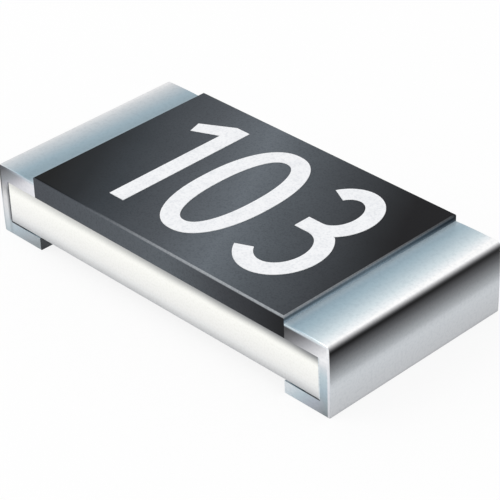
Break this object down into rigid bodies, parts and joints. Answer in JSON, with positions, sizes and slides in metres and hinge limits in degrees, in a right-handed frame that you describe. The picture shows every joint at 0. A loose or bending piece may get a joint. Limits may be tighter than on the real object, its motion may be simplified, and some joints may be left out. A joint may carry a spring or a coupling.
{
  "type": "chip resistor",
  "caption": "Rectangular surface-mount thick-film resistor: ceramic block, wrap-around plated terminals, black overcoat with a plain value code.",
  "frame": {"origin": "centre of the footprint, on the plane of the solder lands", "axes": "+X along the length from the left terminal to the right one, +Y across the width, +Z from the board up through the overcoat"},
  "size_m": [0.0032, 0.0016, 0.0006],
  "materials": {
    "alumina": "matte",
    "overcoat": "satin",
    "marking_ink": "matte",
    "tin": "satin",
    "nickel": "satin",
    "end_electrode": "matte",
    "silver_print": "matte",
    "resistive_film": "matte",
    "glass_undercoat": "gloss"
  },
  "bodies": {
    "root": {"ceramic_substrate": "alumina", "resistive_film": "resistive_film", "glass_undercoat": "glass_undercoat", "overcoat": "overcoat", "top_electrode_left": "silver_print", "bottom_electrode_left": "silver_print", "end_electrode_left": "end_electrode", "nickel_barrier_left": "nickel", "tin_plating_left": "tin", "top_electrode_right": "silver_print", "bottom_electrode_right": "silver_print", "end_electrode_right": "end_electrode", "nickel_barrier_right": "nickel", "tin_plating_right": "tin"}
  },
  "joints": []
}
